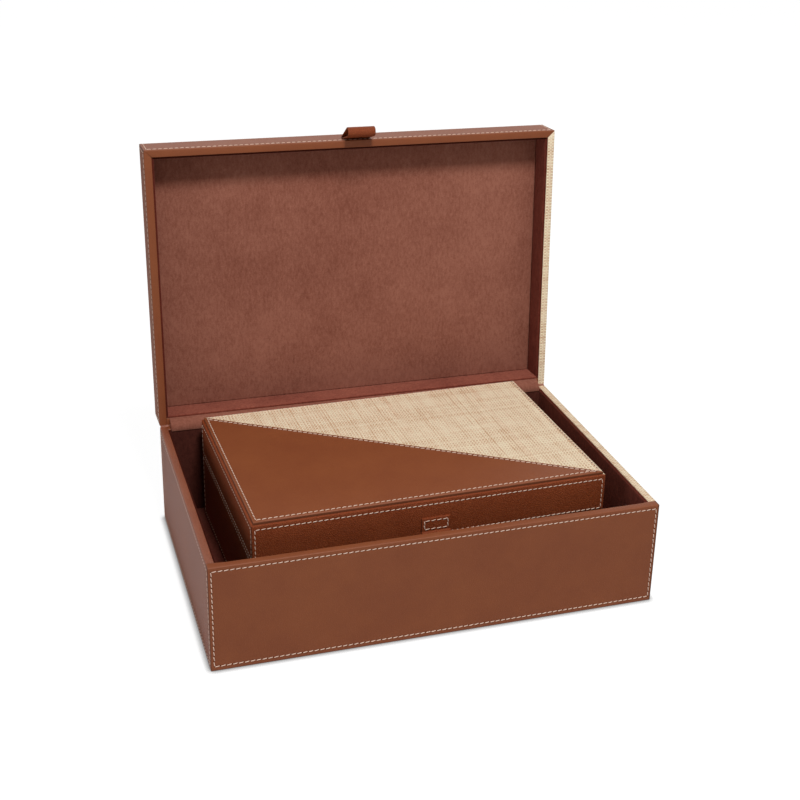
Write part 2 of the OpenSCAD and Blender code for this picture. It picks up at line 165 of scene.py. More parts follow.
def read_sizes(context):
    """The sizes as plain numbers, lengths in mm and angles in degrees, each rounded to
    the 7 digits or so that a property keeps."""
    group = context.scene.stationery_sizes
    values = {}
    for name in group.__annotations__:
        is_length = group.bl_rna.properties[name].unit == "LENGTH"
        unit = MM if is_length else math.radians(1)
        values[name] = float(np.float32(getattr(group, name) / unit))
    return SimpleNamespace(**values)


# ---------------------------------------------------------------- mesh helpers
def outward(verts, faces):
    """Faces turned so that the closed shell's volume, the sum over its triangles of
    a . (b x c) / 6, is positive."""
    tri = [(f[0], f[k], f[k + 1]) for f in faces for k in range(1, len(f) - 1)]
    a, b, c = (verts[np.array(tri)[:, k]] for k in range(3))
    if np.einsum("ij,ij->i", a, np.cross(b, c)).sum() < 0:
        return [tuple(reversed(f)) for f in faces]
    return faces


def make_piece(name, shells, material, body, nodes=(), sharp=38):
    """One object from closed shells, each (vertices in mm, faces, uv per face corner or
    None, and if given how far each vertex is darkened, as a stained cut edge or as
    painted shade). It rides on a body, or, given a tuple (body, body, start, end) that is
    not used, stays where it is drawn, and stands for the CAD nodes named. Edges that turn
    by more than sharp degrees stay sharp."""
    verts, faces, maps, edge_darkening, base = [], [], [], [], 0
    for v, f, uv, *darkening in shells:
        # the darkening marks stained cut edges, and painted shade at panel feet and lining lips
        edge_darkening.append(darkening[0] if darkening else np.zeros(len(v)))
        turned = outward(v, f)
        if uv is not None:
            # a face that is turned round takes its corners' places on the cloth with it
            uv = uv if turned is f else [reversed(corners) for corners in uv]
            maps += [place for corners in uv for place in corners]
        verts.append(v * MM)
        faces += [tuple(i + base for i in face) for face in turned]
        base += len(v)
    mesh = bpy.data.meshes.new(name)
    mesh.from_pydata(np.concatenate(verts).tolist(), [], faces)
    edge_darkening = np.concatenate(edge_darkening)
    if edge_darkening.any():
        mesh.attributes.new("edge", "FLOAT", "POINT").data.foreach_set("value", edge_darkening)
    if maps:
        layer = mesh.uv_layers.new(name="weave")
        layer.data.foreach_set("uv", np.array(maps, np.float32).ravel())
    mesh.polygons.foreach_set("use_smooth", np.ones(len(mesh.polygons), bool))
    mesh.update()
    mesh.set_sharp_from_angle(angle=math.radians(sharp))
    piece = bpy.data.objects.new(name, mesh)
    bpy.context.scene.collection.objects.link(piece)
    mesh.materials.append(material)
    if isinstance(body, str):
        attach(piece, body)
    else:
        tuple(body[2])
        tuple(body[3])
        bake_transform(piece)
    if nodes:
        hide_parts(*nodes)
    return piece


def tube(rings, around, closed=False):
    """The quads of a grid of points, ring after ring, each ring a closed loop; closed
    joins the last ring to the first. Quad (i, j) has the corners (i, j), (i, j + 1),
    (i + 1, j + 1) and (i + 1, j)."""
    steps = rings if closed else rings - 1
    i, j = np.meshgrid(np.arange(steps), np.arange(around), indexing="ij")
    a, b = (i + 1) % rings, (j + 1) % around
    quads = np.stack([i * around + j, i * around + b, a * around + b, a * around + j], -1)
    return quads.reshape(-1, 4)


def as_faces(quads, *caps):
    """Quads of an array and the caps at both ends of a tube, as tuples of indices."""
    return [tuple(q) for q in quads.tolist()] + [tuple(c) for c in caps]


def rounded(corners, radii, steps=5):
    """A closed outline whose corners are quarter ellipses: with p the corner and a, b
    the points a radius before and after it, the arc is
    p + (a - p)(1 - sin t) + (b - p)(1 - cos t), t from 0 to 90 degrees."""
    pts = []
    count = len(corners)
    t = np.linspace(0, math.pi / 2, steps)[:, None]
    for i, r in enumerate(radii):
        p = np.array(corners[i], float)
        if not r:
            pts.append(p[None])
            continue
        a, b = (np.array(corners[(i + s) % count], float) - p for s in (-1, 1))
        a, b = (d / np.linalg.norm(d) * r for d in (a, b))
        pts.append(p + a * (1 - np.sin(t)) + b * (1 - np.cos(t)))
    return np.concatenate(pts)


def finer(outline, levels):
    """The outline with extra points on its outer face, n = 0, round each sewing level
    and every 12 mm, so that it can be dented there."""
    steps = np.array([-1, -0.6, -0.3, 0, 0.3, 0.6, 1]) * GROOVE_REACH
    out = []
    for i, p in enumerate(outline):
        q = outline[(i + 1) % len(outline)]
        out.append(p)
        if abs(p[0]) < 1e-6 and abs(q[0]) < 1e-6 and abs(p[1] - q[1]) > 4:
            lo, hi = sorted((p[1], q[1]))
            z = np.concatenate([lv + steps for lv in levels] + [np.arange(lo + 6, hi - 6, 12)])
            z = np.unique(z[(z > lo + 0.2) & (z < hi - 0.2)].round(3))
            out += [np.array([0.0, v]) for v in (z if p[1] < q[1] else z[::-1])]
    return np.array(out)


def swept(outline, u0, u1, r0, r1, columns=(), dent=None, lap=None, uv=True):
    """A closed outline (n, z) carried along u from u0 to u1, which are one number or
    one per point. Over the last r of each end the edges are rounded: at an angle t the
    ring lies r(1 - cos t) from the end, and nothing of it reaches nearer than
    r(1 - sin t) to the outline's own outer limits. dent(u, z) moves the outer face in,
    lap(u) moves the inner edge of the cap in. columns are the places along u where the
    rings lie closer. The first rings of each end are painted as a cut edge."""
    n, z = outline.T
    u0, u1 = np.broadcast_to(u0, n.shape), np.broadcast_to(u1, n.shape)
    t = np.linspace(0, math.pi / 2, 5)
    lo, hi = float(u0.max() + r0), float(u1.min() - r1)
    steps = np.array([-1.4, -0.8, -0.4, 0, 0.4, 0.8, 1.4])
    mid = np.concatenate([c + steps for c in columns] + [np.linspace(lo, hi, 26)[1:-1]])
    mid = np.unique(mid[(mid > lo + 0.2) & (mid < hi - 0.2)].round(3))[:, None]
    start = u0 + r0 * (1 - np.cos(t))[:, None]
    end = u1 - r1 * (1 - np.cos(t[::-1]))[:, None]
    u = np.concatenate([start, mid * np.ones(n.shape), end])
    f = [r0 * (1 - np.sin(t)), np.zeros(len(mid)), r1 * (1 - np.sin(t[::-1]))]
    f = np.concatenate(f)[:, None]
    nn = np.maximum(n[None], n.min() + f)
    zz = np.clip(z[None], z.min() + f, z.max() - f)
    if lap is not None:
        nn = nn + np.where(n[None] > n.max() - 0.6, lap(u), 0)
    if dent is not None:
        nn = nn + np.where(n[None] < 0.01, dent(u, z[None]), 0)
    verts = np.stack([u, nn, zz], -1)
    s, p = u.shape
    quads = tube(s, p)[:, [0, 3, 2, 1]]
    faces = as_faces(quads, range(p), range(s * p - 1, (s - 1) * p - 1, -1))
    maps = None
    if uv:
        # across, the cloth runs round the outline; run is the length up to each point
        # and its last value the whole way round
        round_trip = np.diff(np.vstack([outline, outline[:1]]), axis=0)
        run = np.concatenate([[0], np.cumsum(np.linalg.norm(round_trip, axis=1))])
        j = np.tile(np.arange(p), s - 1)
        across = np.stack([run[j], run[j], run[j + 1], run[j + 1]], -1)
        maps = (np.stack([u.ravel()[quads], across], -1) * MM).tolist()
        flat = (outline * MM).tolist()
        maps += [flat, flat[::-1]]
    darkening = np.minimum(1, 2.6 * f / max(r0, r1, 0.01)) * np.ones(n.shape)
    return verts.reshape(-1, 3), faces, maps, darkening.ravel()


def slab(corners, z0, z1, rise, edges, uv=True):
    """A flat convex plate whose top edges are quarter ellipses, rise high and edges[k]
    deep behind edge k: ring by ring each edge moves in by edges[k](1 - cos t) while the
    ring climbs to z1 - rise(1 - sin t). The lowest rings are darkened as painted shade
    in the groove at the plate's foot."""
    p = np.array(corners, float)
    q = np.roll(p, -1, axis=0)
    d = (q - p) / np.linalg.norm(q - p, axis=1)[:, None]
    inward = np.stack([-d[:, 1], d[:, 0]], -1)
    before = np.roll(d, 1, axis=0)
    per_edge = 24

    def cross(a, b):
        """ax by - ay bx, row by row."""
        return (a[:, 0] * b[:, 1] - a[:, 1] * b[:, 0])[:, None]

    def ring(scale):
        """The outline with its edges moved in. With a and b points on two neighbouring
        moved edges, and c and d those edges' directions, the edges meet at
        a + c ((b - a) x d) / (c x d). More points follow each corner along its edge."""
        b = p + inward * (np.array(edges) * scale)[:, None]
        a = np.roll(b, 1, axis=0)
        met = a + before * cross(b - a, d) / cross(before, d)
        along = (np.roll(met, -1, axis=0) - met)[:, None]
        share = np.linspace(0, 1, per_edge, endpoint=False)[:, None]
        return (met[:, None] + along * share).reshape(-1, 2)

    t = np.linspace(0, math.pi / 2, 6)
    scales = np.concatenate([[0.0], 1 - np.cos(t)])
    heights = np.concatenate([[z0], z1 - rise * (1 - np.sin(t))])
    m, c = len(scales), per_edge * len(p)
    flat = np.concatenate([ring(scale) for scale in scales])
    z = np.repeat(heights, c)[:, None]
    quads = tube(m, c)
    faces = as_faces(quads, range(c - 1, -1, -1), range((m - 1) * c, m * c))
    maps = None
    if uv:
        # the cloth lies flat on top and runs down the edge: its place is the top view,
        # moved out by how far the point lies below the top
        spread = flat + np.sign(flat - p.mean(axis=0)) * (z1 - z)
        maps = (spread[quads] * MM).tolist()
        maps += [(flat[list(cap)] * MM).tolist() for cap in faces[-2:]]
    verts = np.column_stack([flat, z])
    # painted shade: the two lowest rings are darkened, the shade in the groove at the plate's foot
    edge_darkening = np.repeat([1.0, 0.7] + [0.0] * (m - 2), c)
    return verts, faces, maps, edge_darkening


def wall_place(side, w, d):
    """From (u along the wall, n inwards, z) to the box: the front wall has u to the
    right, and the others follow by quarter turns: right, back, left."""

    def place(v):
        u, n, z = np.asarray(v, float).T
        x, y = {
            "front": (u, n - d / 2),
            "right": (w / 2 - n, u),
            "back": (-u, d / 2 - n),
            "left": (n - w / 2, -u),
        }[side]
        return np.stack([x, y, z], -1)

    return place


def box_places(s):
    """Matrices in mm that carry each box half, drawn upright with its rim or underside
    at zero, to where it lies: the large lid turns back about the hinge line."""
    hinge = Matrix.Translation((0, s.depth / 2, s.base_height + s.slit / 2))
    lid = hinge @ Matrix.Rotation(-math.radians(s.open_angle), 4, "X")
    lid = lid @ Matrix.Translation((0, -s.depth / 2, s.slit / 2))
    small = Matrix.Translation((s.small_x, s.small_y, s.floor))
    small = small @ Matrix.Rotation(math.radians(s.small_turn), 4, "Z")
    small_lid = small @ Matrix.Translation((0, 0, s.small_base + s.small_slit))
    return {"base": Matrix(), "large_lid": lid, "small_box": small, "small_lid": small_lid}


def carry(matrix, v):
    """Points under a 4 by 4 matrix."""
    m = np.array(matrix)
    return np.asarray(v, float) @ m[:3, :3].T + m[:3, 3]


# each half's name in the pieces, and how far its sewn rectangles lie from the wall's
# ends, bottom and top, in mm
HALVES = {
    "base": ("base", (3.0, 4.2, 3.9)),
    "large_lid": ("lid", (3.0, 3.6, 1.4)),
    "small_box": ("small", (2.9, 4.0, 2.4)),
    "small_lid": ("small_lid", (2.9, 1.6, 4.0)),
}


class Half:
    """One half of a box: its outer sizes, walls, place and body."""

    def __init__(self, s, name):
        self.name = name
        self.large, self.lid = name in ("base", "large_lid"), "lid" in name
        self.prefix, self.sewing = HALVES[name]
        self.matrix = box_places(s)[name]
        if self.large:
            self.w, self.d, self.h = s.width, s.depth, s.lid_wall if self.lid else s.base_height
            self.wall, self.lining, self.floor = s.wall, s.lining, s.floor
            self.ceiling = s.ceiling - s.panel
        else:
            self.w, self.d = s.small_width, s.small_depth
            self.h = s.small_lid_wall if self.lid else s.small_base
            self.wall, self.lining, self.floor = s.small_wall, s.small_lining, s.small_floor
            self.ceiling = self.h + s.slab - s.cover - TOP_BOARD - SMALL_PANEL

    def half_length(self, side):
        """Half the outer length of a wall."""
        return (self.w if side in ("front", "back") else self.d) / 2

    def put(self, side, shell):
        """A shell drawn as (u, n, z) of a wall, carried to where the half lies."""
        v, *rest = shell
        return carry(self.matrix, wall_place(side, self.w, self.d)(v)), *rest


# ---------------------------------------------------------------- materials
class Finish:
    """A node material in the making, with its output and its surface."""

    def __init__(self, name):
        self.mat = bpy.data.materials.get(name) or bpy.data.materials.new(name)
        self.mat.use_nodes = True
        self.tree = self.mat.node_tree
        self.tree.nodes.clear()
        self.out = self.add("OutputMaterial")
        self.base = self.add("BsdfPrincipled")
        self.fill(self.out, {0: self.base.outputs[0]})

    def fill(self, node, inputs):
        """Links an input to a socket, or sets it to a plain value."""
        for key, value in inputs.items():
            if isinstance(value, bpy.types.NodeSocket):
                self.tree.links.new(value, node.inputs[key])
            else:
                node.inputs[key].default_value = value

    def add(self, kind, inputs=None, **settings):
        """A new node with its inputs and settings."""
        node = self.tree.nodes.new("ShaderNode" + kind)
        for key, value in settings.items():
            setattr(node, key, value)
        self.fill(node, inputs or {})
        return node

    def surface(self, **inputs):
        """The surface's own inputs, with _ for the spaces in their names."""
        self.fill(self.base, {key.replace("_", " "): v for key, v in inputs.items()})

    def at(self):
        """Where a point lies on the object."""
        return self.add("TexCoord").outputs["Object"]

    def noise(self, vector, scale, detail, rough=0.5, output="Fac"):
        """A noise whose grains are 1 / scale long."""
        inputs = {"Vector": vector, "Scale": scale, "Detail": detail, "Roughness": rough}
        return self.add("TexNoise", inputs).outputs[output]

    def drawn_out(self, scale, detail):
        """A noise whose grains are 1 / scale long along x, y and z."""
        stretched = self.add("Mapping", {"Vector": self.at(), "Scale": scale})
        return self.noise(stretched.outputs[0], 1.0, detail, 0.7)

    def calc(self, kind, a, b=0.5):
        """A Math node's result for one or two sockets or numbers, named by its kind;
        FLOOR and FRACT take no b."""
        return self.add("Math", {0: a, 1: b}, operation=kind).outputs[0]

    def mix(self, share, a, b, blend="MIX"):
        """A share of colour b, or of the two multiplied, over colour a."""
        node = self.add("Mix", {0: share, 6: a, 7: b}, data_type="RGBA", blend_type=blend)
        return node.outputs[2]

    def ramp(self, socket, *stops):
        """A colour ramp over (position, (r, g, b)) stops."""
        node = self.add("ValToRGB", {"Fac": socket})
        while len(node.color_ramp.elements) < len(stops):
            node.color_ramp.elements.new(0.5)
        for e, (pos, rgb) in zip(node.color_ramp.elements, stops):
            e.position = pos
            e.color = (*rgb, 1)
        return node.outputs["Color"]

    def edge(self):
        """How far a point is darkened: on a stained cut edge, or by painted shade at a panel's
        foot or a lining's lip.
        """
        return self.add("Attribute", attribute_name="edge").outputs["Fac"]

    def bump(self, height, strength, distance):
        """A surface that a height raises by up to distance metres."""
        inputs = {"Height": height, "Strength": strength, "Distance": distance}
        return self.add("Bump", inputs).outputs[0]


def scaled(rgb, share):
    """A colour made darker or brighter by a factor."""
    return tuple(c * share for c in rgb)


def leather(name, light, dark, grain, rough, gloss):
    """Leather: pebbles from a cell texture under a finer noise, broad patches of a
    darker tone, stained cut edges, painted shade at a raised panel's foot, and a soft
    satin gloss that varies a little."""
    f = Finish(name)
    at = f.at()
    tone = f.ramp(f.noise(at, 26.0, 4.0, 0.6), (0.32, dark), (0.7, light))
    cells = f.add("TexVoronoi", {"Vector": at, "Scale": 640.0}, feature="DISTANCE_TO_EDGE")
    fine = f.noise(at, 2600.0, 3.0, 0.65)
    distance = cells.outputs["Distance"]
    pebble = f.add("MapRange", {"Value": distance, "From Min": 0.0, "From Max": 0.3}).outputs[0]
    pore = f.ramp(pebble, (0.0, (0.66, 0.54, 0.48)), (0.6, (1, 1, 1)))
    grained = f.mix(min(1.0, grain * 1.2), tone, pore, "MULTIPLY")
    # darkened where the edge attribute says: stained cut edges, and painted shade at a raised
    # panel's foot
    edge_darkened = f.mix(f.calc("MULTIPLY", f.edge(), 0.75), grained, (*scaled(dark, 0.22), 1))
    satin = f.add("MapRange", {"Value": fine, "To Min": rough - 0.07, "To Max": rough + 0.09})
    f.surface(
        Base_Color=edge_darkened,
        Roughness=satin.outputs[0],
        Normal=f.bump(f.calc("ADD", pebble, fine), grain, 0.0003),
        Specular_IOR_Level=gloss,
    )


def raffia(name, light, dark):
    """Raffia weave, warp strands 1.5 mm and weft strands 2 mm wide, that wander a
    little: on a chequerboard of cells the warp or the weft lies on top, and the pillow
    of each strand falls off as (2f - 1)^2 across it. Each strand has its own tone, with
    fibres along it; every other warp strand is darker, a few are slubs, and broad bands
    of strands differ too. Cells where the weft lies on top and the valleys between the
    pillows are darkened as painted shade of the weave."""
    f = Finish(name)
    uv = f.add("UVMap", uv_map="weave").outputs[0]
    wander = f.noise(uv, 45.0, 3.0, output="Color")
    bend = {0: wander, 1: (1.4, 1.4, 0), 2: (-0.7, -0.7, 0)}
    bend = f.add("VectorMath", bend, operation="MULTIPLY_ADD").outputs[0]
    cell = f.add("VectorMath", {0: uv, 1: (667, 500, 0), 2: bend}, operation="MULTIPLY_ADD")
    sep = f.add("SeparateXYZ", {0: cell.outputs[0]})

    def times(a, b):
        return f.calc("MULTIPLY", a, b)

    def plus(a, b):
        return f.calc("ADD", a, b)

    def strand(axis, seed, along, spread):
        """(index, valley, tone) of the strands counted along an axis; spread is how much
        their own tones differ."""
        index = f.calc("FLOOR", sep.outputs[axis])
        part = f.calc("FRACT", sep.outputs[axis])
        off = f.calc("SUBTRACT", times(part, 2.0), 1.0)
        own = f.add("TexWhiteNoise", {"W": plus(index, seed)}, noise_dimensions="1D")
        own = own.outputs["Value"]
        slub = f.calc("POWER", own, 16.0)
        place = f.add("CombineXYZ", {"X": index, "Y": times(sep.outputs[along], 0.11)})
        fibre = f.noise(place.outputs[0], 1.0, 3.0, 0.7)
        return index, times(off, off), plus(times(plus(own, slub), spread), fibre)

    warp, warp_valley, warp_tone = strand("X", 3.0, "Y", 0.34)
    weft, weft_valley, weft_tone = strand("Y", 531.0, "X", 0.26)
    odd = f.calc("PINGPONG", plus(warp, weft), 1.0)
    share = plus(times(odd, 0.6), 0.2)
    on_top = f.add("Mix", {0: share, 2: warp_tone, 3: weft_tone}, data_type="FLOAT").outputs[0]
    valley = plus(warp_valley, weft_valley)

    def bands(u, v):
        """A slow noise over the strands' indices."""
        place = f.add("CombineXYZ", {"X": times(warp, u), "Y": times(weft, v)})
        return f.noise(place.outputs[0], 1.0, 2.0, 0.6)

    slow = plus(times(bands(0.19, 0.03), 0.9), times(bands(0.02, 0.25), 0.5))
    darker = plus(times(f.calc("PINGPONG", warp, 1.0), 0.32), slow)
    # painted shade: cells where the weft lies on top are darker
    tone = plus(plus(times(odd, 0.4), on_top), darker)
    tone = f.calc("SUBTRACT", times(tone, 0.5), 0.24)
    bright = tuple(min(1.0, c) for c in scaled(light, 1.12))
    middle = tuple((a + b) / 2 for a, b in zip(light, dark))
    straw = f.ramp(tone, (0.45, bright), (0.6, light), (0.76, middle), (0.92, dark))
    # painted shade in the valleys between the strands
    valley_shade = f.ramp(times(valley, 0.5), (0.2, (1, 1, 1)), (0.8, (0.84, 0.68, 0.54)))
    height = f.calc("SUBTRACT", times(tone, -0.6), valley)
    f.surface(
        Base_Color=f.mix(0.6, straw, valley_shade, "MULTIPLY"),
        Normal=f.bump(height, 0.65, 0.0004),
        Roughness=0.62,
        Specular_IOR_Level=0.3,
    )


def suede(name, light, dark, sheen):
    """Suede: soft blotches where the nap lies either way, a brushed and a fine fibrous
    noise, painted shade that darkens a panel's foot and a lining's lip, and a velvety sheen."""
    f = Finish(name)
    at = f.at()
    fine = f.noise(at, 900.0, 5.0, 0.8)
    three = f.calc("ADD", f.noise(at, 14.0, 6.0, 0.7), fine)
    three = f.calc("ADD", three, f.drawn_out((420, 420, 190), 4.0))
    tone = f.ramp(f.calc("MULTIPLY", three, 1 / 3), (0.4, dark), (0.6, light))
    f.surface(
        # painted shade where the edge attribute is set: the crease at a panel's foot and a
        # lining's lip
        Base_Color=f.mix(f.edge(), tone, (0.6, 0.45, 0.42, 1), "MULTIPLY"),
        Normal=f.bump(fine, 0.5, 0.00025),
        Roughness=0.95,
        Specular_IOR_Level=0.0,
        Sheen_Weight=sheen,
        Sheen_Roughness=0.6,
        Sheen_Tint=(1.0, 0.6, 0.48, 1),
    )


def waxed_thread(name, light):
    """Waxed thread: a twist of fine noise and a soft gloss."""
    f = Finish(name)
    twist = f.noise(f.at(), 3200.0, 3.0, 0.7)
    f.surface(
        Base_Color=f.ramp(twist, (0.3, scaled(light, 0.72)), (0.62, light)),
        Normal=f.bump(twist, 0.6, 0.00015),
        Roughness=0.6,
    )


def hole_shade_finish(name, dark):
    """Painted shade of a needle hole: a dark finish, a little uneven."""
    f = Finish(name)
    uneven = f.noise(f.at(), 2400.0, 2.0)
    f.surface(
        Base_Color=f.ramp(uneven, (0.3, scaled(dark, 0.6)), (0.7, dark)),
        Roughness=0.9,
        Specular_IOR_Level=0.0,
    )


def greyboard(name, light):
    """Pressed board: short fibres in colour and bump."""
    f = Finish(name)
    fibre = f.drawn_out((300, 1400, 1400), 4.0)
    f.surface(
        Base_Color=f.ramp(fibre, (0.35, scaled(light, 0.7)), (0.6, light)),
        Normal=f.bump(fibre, 0.4, 0.0002),
        Roughness=0.85,
    )


def materials():
    """The finishes by name; made once."""
    if not bpy.data.materials.get("leather_smooth"):
        group = bpy.context.scene.stationery_colours
        c = {name: tuple(getattr(group, name)) for name in group.__annotations__}
        leather("leather_smooth", c["leather"], c["leather_dark"], 0.16, 0.5, 0.32)
        leather("leather_pebbled", c["pebbled"], c["pebbled_dark"], 1.0, 0.55, 0.22)
        leather("leather_sides", c["sides"], c["sides_dark"], 0.8, 0.42, 0.74)
        raffia("raffia_weave", c["raffia"], c["raffia_dark"])
        suede("suede_nap", c["suede"], c["suede_dark"], 0.15)
        # darker copies of the suede, painted shade on the walls inside
        suede("suede_red", c["fold"], c["fold_dark"], 0.08)
        suede("suede_inner", c["inner"], c["inner_dark"], 0.04)
        suede("suede_deep", c["deep"], c["deep_dark"], 0.0)
        # dark beads painted as the shade in the needle holes
        hole_shade_finish("leather_holes", scaled(c["leather_dark"], 0.22))
        waxed_thread("leather_thread", c["thread"])
        greyboard("board_plain", c["board"])
    return {m.name: m for m in bpy.data.materials}


# ---------------------------------------------------------------- sewing
def stitches(at, along, out, s, slant=0.16):
    """Slanted stitches: at each point a thread arches over the surface, its height
    0.55 r - 1.3 r q^4 for q from -1 to 1 along it, in six-sided rings of radius r that
    taper to 0.6 r where the thread dives in. at, along, out are (count, 3) arrays."""
    r = s.thread / 2
    q = np.linspace(-1, 1, 7)
    side = np.cross(out, along)
    way = along * math.cos(slant) + side * math.sin(slant)
    across = np.cross(out, way)
    ring = np.linspace(0, 2 * math.pi, 7)[:-1]
    size = r * (1 - 0.4 * q**4)
    lift = 0.55 * r - 1.3 * r * q**4
    mid = at[:, None] + way[:, None] * (q * s.stitch / 2)[None, :, None]
    mid = mid + out[:, None] * lift[None, :, None]
    v = mid[:, :, None]
    v = v + across[:, None, None] * (np.cos(ring)[None, None] * size[None, :, None])[..., None]
    v = v + out[:, None, None] * (np.sin(ring)[None, None] * size[None, :, None])[..., None]
    first = 42 * np.arange(len(at))[:, None]
    quads = (tube(7, 6) + first[..., None]).reshape(-1, 4)
    caps = np.concatenate([first + np.arange(6)[::-1], first + np.arange(36, 42)])
    return v.reshape(-1, 3), as_faces(quads, *caps.tolist()), None


def hole_shadows(at, along, out, s, size):
    """Painted shade of the needle holes, one between each stitch and the next: a flat dark
    bead, a six-sided ring that reaches size along the row and 0.6 of it across, its
    middle 0.04 mm prouder. Where a row lies in a shaded groove, a larger size paints that shade
    too."""
    ring = np.linspace(0, 2 * math.pi, 7)[:-1]
    across = np.cross(out, along)
    mid = (at + along * s.pitch / 2)[:, None]
    bead = along[:, None] * size * np.cos(ring)[None, :, None]
    bead = bead + across[:, None] * 0.6 * size * np.sin(ring)[None, :, None]
    up = out[:, None]
    v = np.concatenate([mid + bead + 0.07 * up, mid + 0.11 * up, mid - 0.2 * up], 1)
    k = np.arange(6)
    j = (k + 1) % 6
    cone = np.stack([k, j, np.full(6, 6), j, k, np.full(6, 7)], -1).reshape(-1, 3)
    triangles = cone + 8 * np.arange(len(at))[:, None, None]
    return v.reshape(-1, 3), as_faces(triangles.reshape(-1, 3)), None


def sewn_row(half, s, a, b, place, face, hole=HOLE_SHADE):
    """Stitches, and dark beads painted as the shade of their needle holes, along the line
    from a to b, spaced evenly, the ends a stitch's half length inside. place carries
    points to the half, and face points out of the surface."""
    a, b = np.array(a, float), np.array(b, float)
    run = np.linalg.norm(b - a)
    count = max(2, int(round(run / s.pitch)))
    share = (np.arange(count) + 0.5) / count
    p = a + (b - a) * share[:, None]
    at, ahead, up = place(p), place(p + (b - a) / run), place(p + np.array(face))
    turn = np.array(half.matrix)[:3, :3].T
    where = carry(half.matrix, at), (ahead - at) @ turn, (up - at) @ turn, s
    return stitches(*where), hole_shadows(*where, hole)


def sewn_rectangle(half, s, side, u0, u1, z0, z1, n, top=True):
    """The rows round a rectangle of a wall's face, with or without its top row."""
    lines = [((u0, z0), (u1, z0)), ((u1, z0), (u1, z1)), ((u0, z1), (u0, z0))]
    if top:
        lines.append(((u1, z1), (u0, z1)))
    place = wall_place(side, half.w, half.d)
    return [
        sewn_row(half, s, (a[0], n, a[1]), (b[0], n, b[1]), place, (0.0, -1.0, 0.0))
        for a, b in lines
    ]


def make_sewing(half, mats, part, rows, pricked=True):
    """The threads of sewn rows, and as a rule the painted shade of their needle holes."""
    threads, hole_shadow_rows = zip(*rows)
    thread, dark = mats["leather_thread"], mats["leather_holes"]
    make_piece(f"{half.prefix}_{part}_stitches", threads, thread, half.name, sharp=80)
    if pricked:
        make_piece(f"{half.prefix}_{part}_holes", hole_shadow_rows, dark, half.name)


# ---------------------------------------------------------------- pieces
def groove(half, side):
    """A shallow channel that the stitches of a wall lie in: at g mm from the sewn
    rectangle it is exp(-(g / 0.75)^2) of its depth deep."""
    e, lo, hi = half.sewing
    h = half.half_length(side)
    past = 0.4

    def dent(u, z):
        u, z = np.broadcast_arrays(u, z)
        inside = (np.abs(u) <= h - e + past) & (z >= lo - past) & (z <= half.h - hi + past)
        near = np.abs(z - lo)
        if half.name != "large_lid":
            near = np.minimum(near, np.abs(z - (half.h - hi)))
        near = np.minimum(near, np.abs(np.abs(u) - (h - e)))
        return np.where(inside, GROOVE * np.exp(-((near / 0.75) ** 2)), 0.0)

    return dent


def wall_finish(side, half):
    """The finish of a wall's cover: raffia on the right, grained leather on the small
    box, and on the large one smooth leather but for the base's left and back."""
    if side == "right":
        return "raffia_weave"
    if not half.large:
        return "leather_pebbled"
    return "leather_smooth" if side == "front" or half.lid else "leather_sides"


def wall_cover(half, mats, side, shell):
    """One wall's cover, which stands for the node of its side and cloth."""
    node = f"{half.prefix}_{side}_{'raffia' if side == 'right' else 'leather'}"
    mat = mats[wall_finish(side, half)]
    make_piece(f"{node}_cover", [half.put(side, shell)], mat, half.name, [node])


def side_cover(half, side, outline, front, r_front, cols, dent):
    """The cover of the left or right wall, from the back to front, which is one number
    or one per point; u runs forwards on the left and backwards on the right."""
    back = np.full(len(outline), half.half_length(side))
    if side == "left":
        return swept(outline, -back, front, SIDE_ROLL, r_front, cols, dent)
    return swept(outline, -front, back, r_front, SIDE_ROLL, cols, dent)


def base_covers(s, half, mats):
    """The four wall covers of a lower box, each rolled over its part of the rim."""
    c, m, h = s.cover, half.wall, half.h
    e, lo, hi = half.sewing
    outline = rounded(
        [(0, 0), (0, h), (m, h), (m, h - c), (c, h - c), (c, 0)], [0.7, ROLL, 0.5, 0, 0, 0]
    )
    outline = finer(outline, [lo, h - hi])
    cap = (outline[:, 0] > c + 0.01) | (outline[:, 1] >= h - c - 0.01)
    for side in SIDES:
        b = half.half_length(side)
        cols = [-(b - e), b - e]
        dent = groove(half, side)
        if side == "front":
            shell = swept(
                outline, -b, b, ROLL, ROLL, cols, dent,
                lambda u: np.where(np.abs(u) > b - m + 0.2, FRONT_LAP, 0.0),
            )
            if half.large:
                # the cut edge beside the raffia is stained dark
                edge_darkened = shell[0][:, 0] > b - ROLL - 0.05
                shell = (*shell[:3], np.where(edge_darkened, 1.0, shell[3]))
        elif side == "back":
            end = np.where(cap, b - m, b - c)
            shell = swept(outline, -end, end, 0.3, 0.3, cols, dent)
        else:
            front = b - np.where(cap, m + FRONT_LAP, c)
            shell = side_cover(half, side, outline, front, 0.5, cols, dent)
        wall_cover(half, mats, side, shell)


def lid_covers(s, half, mats):
    """The four wall covers of a lid, each rolled over rim and ledge, mitred in front."""
    c, m, h = s.cover, half.wall, half.h
    e, lo, hi = half.sewing
    outline = rounded(
        [(0, 0), (0, h), (m, h), (m, h - c), (c, h - c), (c, c), (m, c), (m, 0)],
        [ROLL, ROLL, 0, 0, 0, 0, 0.4, 0.5],
    )
    outline = finer(outline, [lo, h - hi])
    n, z = outline.T
    cap = (z < c - 0.01) | (z > h - c + 0.01) | (n > c + 0.01)
    for side in SIDES:
        b = half.half_length(side)
        cols = [-(b - e), b - e]
        dent = groove(half, side)
        if side == "front":
            end = b - np.where(n <= c + 1e-6, 0.0, n)
            shell = swept(outline, -end, end, ROLL, ROLL, cols, dent)
        elif side == "back":
            end = np.where(cap, b - m, b - c)
            shell = swept(outline, -end, end, 0.3, 0.3, cols, dent)
        else:
            front = b - np.where(n <= c + 1e-6, c, n)
            shell = side_cover(half, side, outline, front, 0.3, cols, dent)
        wall_cover(half, mats, side, shell)


